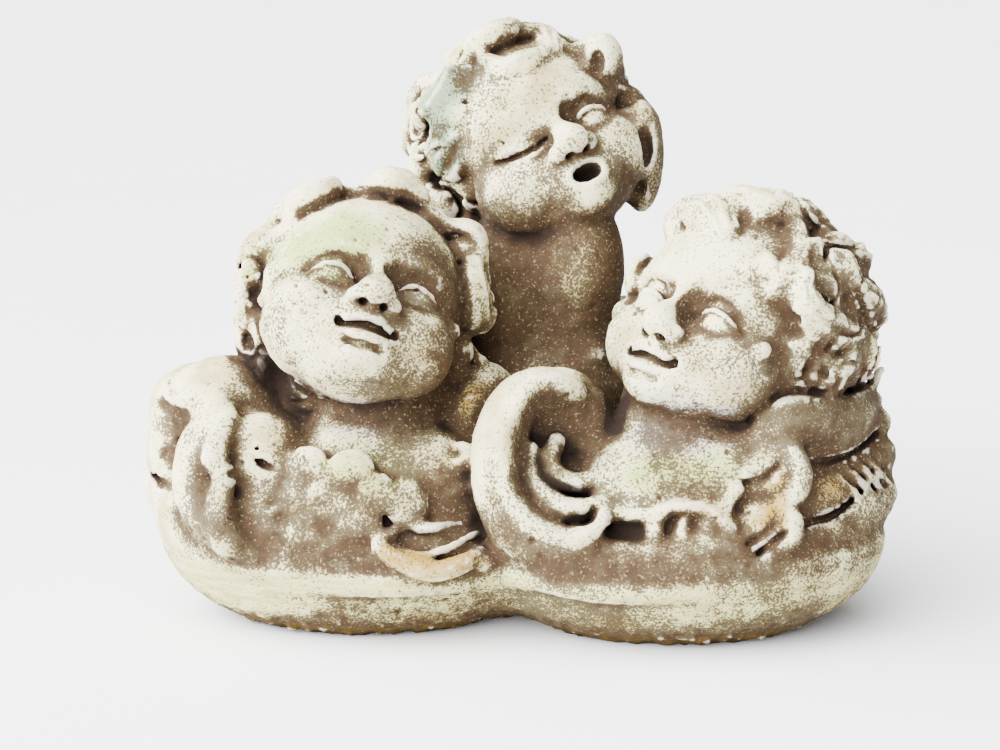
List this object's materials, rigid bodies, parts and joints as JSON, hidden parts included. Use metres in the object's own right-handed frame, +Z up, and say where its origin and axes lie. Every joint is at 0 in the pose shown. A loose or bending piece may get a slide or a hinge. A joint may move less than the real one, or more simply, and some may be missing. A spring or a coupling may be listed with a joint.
{
  "type": "cherub head group statue",
  "caption": "Cast stone garden ornament of winged cherub heads on one lobed base, with curly hair, scrolls and feathered wings, weathered.",
  "frame": {"origin": "on the flat underside, near its middle, at the foot of the rear cherub's chest", "axes": "+Z up, the faces look along -Y, +X to the viewer's right"},
  "size_m": [0.3172, 0.2188, 0.246],
  "materials": {
    "cast_stone": "matte, weathered, with worn cream paint over a brown ground"
  },
  "bodies": {
    "root": {"cherub_group": "cast_stone"}
  },
  "joints": []
}
